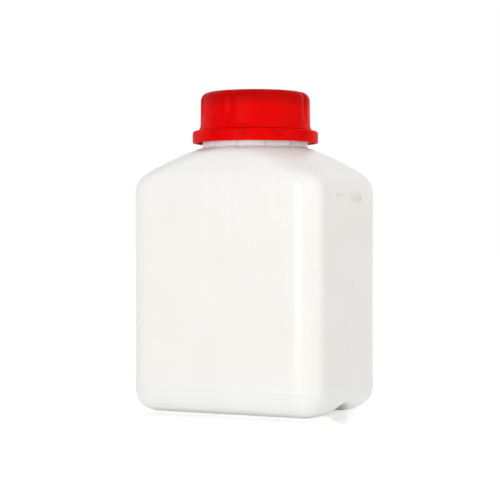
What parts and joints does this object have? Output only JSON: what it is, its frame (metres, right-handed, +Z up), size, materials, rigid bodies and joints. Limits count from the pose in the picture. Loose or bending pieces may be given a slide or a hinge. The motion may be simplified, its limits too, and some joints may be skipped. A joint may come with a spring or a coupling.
{
  "type": "rectangular media bottle",
  "caption": "Rectangular natural polyethylene lab bottle with a rounded shoulder, wide threaded neck, red screw cap and tamper-evident ring.",
  "frame": {"origin": "middle of the foot, at the height of the surface the bottle stands on", "axes": "+Z up along the neck, X along the wide side, Y along the narrow side, with the mould's parting plane at Y = 0"},
  "size_m": [0.0904, 0.0682, 0.1374],
  "materials": {
    "natural_polyethylene": "natural blow-moulded high-density polyethylene, milky and translucent, satin",
    "red_polypropylene": "injection-moulded red plastic, smooth",
    "red_polypropylene_ring": "injection-moulded red plastic, smooth",
    "insert_polyethylene": "white low-density polyethylene, satin"
  },
  "bodies": {
    "bottle": {"bottle": "natural_polyethylene", "tamper_ring": "red_polypropylene_ring"},
    "insert": {"seal_insert": "insert_polyethylene"},
    "cap": {"screw_cap": "red_polypropylene"}
  },
  "joints": [
    {"name": "cap_lift", "type": "slide", "parent": "bottle", "child": "insert", "axis": [0, 0, 1], "range_m": [0, 0.02]},
    {"name": "cap_turn", "type": "hinge", "parent": "insert", "child": "cap", "pos_m": [0, 0, 0.128], "axis": [0, 0, 1], "range_deg": [0, 1440]}
  ],
  "couplings": [
    {"joint": "cap_lift", "follows": "cap_turn", "m_per_rad": 0.00079577}
  ]
}
